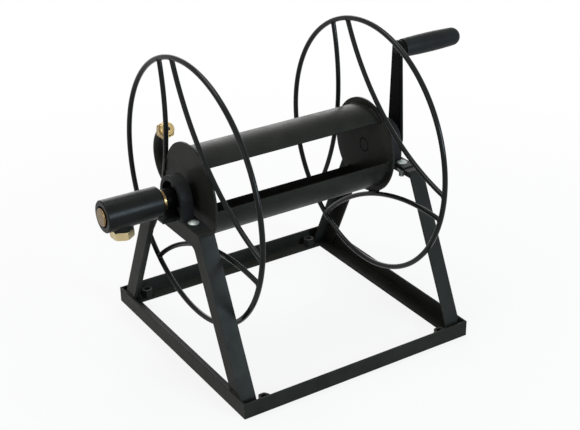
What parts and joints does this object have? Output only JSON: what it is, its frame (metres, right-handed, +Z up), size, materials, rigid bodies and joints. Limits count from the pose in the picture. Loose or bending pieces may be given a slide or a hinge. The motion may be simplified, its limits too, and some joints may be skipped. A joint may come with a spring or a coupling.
{
  "type": "garden hose reel stand",
  "caption": "Free-standing steel hose reel on a square angle-iron base, with a slotted drum between bowed-spoke rings, a side crank, a hanging swivel inlet and a gooseneck hose outlet.",
  "frame": {"origin": "centre of the base on the ground, at the middle of its four fixing holes", "axes": "+X along the reel's axis towards the crank, -Y is the front where the user stands, +Z up"},
  "size_m": [0.6252, 0.402, 0.4649],
  "materials": {
    "black_coat": "satin black powder coat",
    "brass": "turned and polished",
    "zinc_steel": "bright zinc plating",
    "black_plastic": "matt moulded nylon",
    "black_rubber": "matt"
  },
  "bodies": {
    "stand": {"base_rail_front": "black_coat", "base_rail_rear": "black_coat", "base_rail_left": "black_coat", "base_rail_right": "black_coat", "base_nuts": "black_coat", "side_frame_left": "black_coat", "side_frame_right": "black_coat", "bearing_block_left": "black_plastic", "bearing_block_right": "black_plastic", "bearing_bolts": "zinc_steel", "bearing_washers": "zinc_steel", "bearing_nuts": "zinc_steel"},
    "reel": {"drum_disc_left": "black_coat", "drum_disc_right": "black_coat", "drum_plate_upper": "black_coat", "drum_plate_lower": "black_coat", "ring_left": "black_coat", "ring_right": "black_coat", "spoke_left_1": "black_coat", "spoke_left_2": "black_coat", "spoke_left_3": "black_coat", "spoke_right_1": "black_coat", "spoke_right_2": "black_coat", "spoke_right_3": "black_coat", "spindle": "brass", "spindle_seals": "black_rubber", "spindle_clip": "zinc_steel", "outlet_elbow": "black_coat", "outlet_pipe": "black_coat", "outlet_adaptor": "brass", "crank_axle": "black_coat", "axle_collar": "black_coat", "collar_screw": "zinc_steel", "crank_arm": "black_coat", "crank_screw": "zinc_steel", "grip_spindle": "black_coat"},
    "grip": {"grip_sleeve": "black_plastic"},
    "swivel": {"swivel_housing": "black_coat", "inlet_tail": "brass", "inlet_washer": "black_rubber"},
    "inlet_union": {"inlet_nut": "brass"}
  },
  "joints": [
    {"name": "reel_turn", "type": "hinge", "parent": "stand", "child": "reel", "pos_m": [0, 0, 0.264], "axis": [1, 0, 0], "continuous": true},
    {"name": "grip_turn", "type": "hinge", "parent": "reel", "child": "grip", "pos_m": [0.26, 0, 0.407], "axis": [1, 0, 0], "continuous": true},
    {"name": "swivel_turn", "type": "hinge", "parent": "stand", "child": "swivel", "pos_m": [-0.25, 0, 0.264], "axis": [1, 0, 0], "continuous": true},
    {"name": "inlet_nut_turn", "type": "hinge", "parent": "swivel", "child": "inlet_union", "pos_m": [-0.2741, 0, 0.232], "axis": [0, 0, 1], "continuous": true}
  ]
}
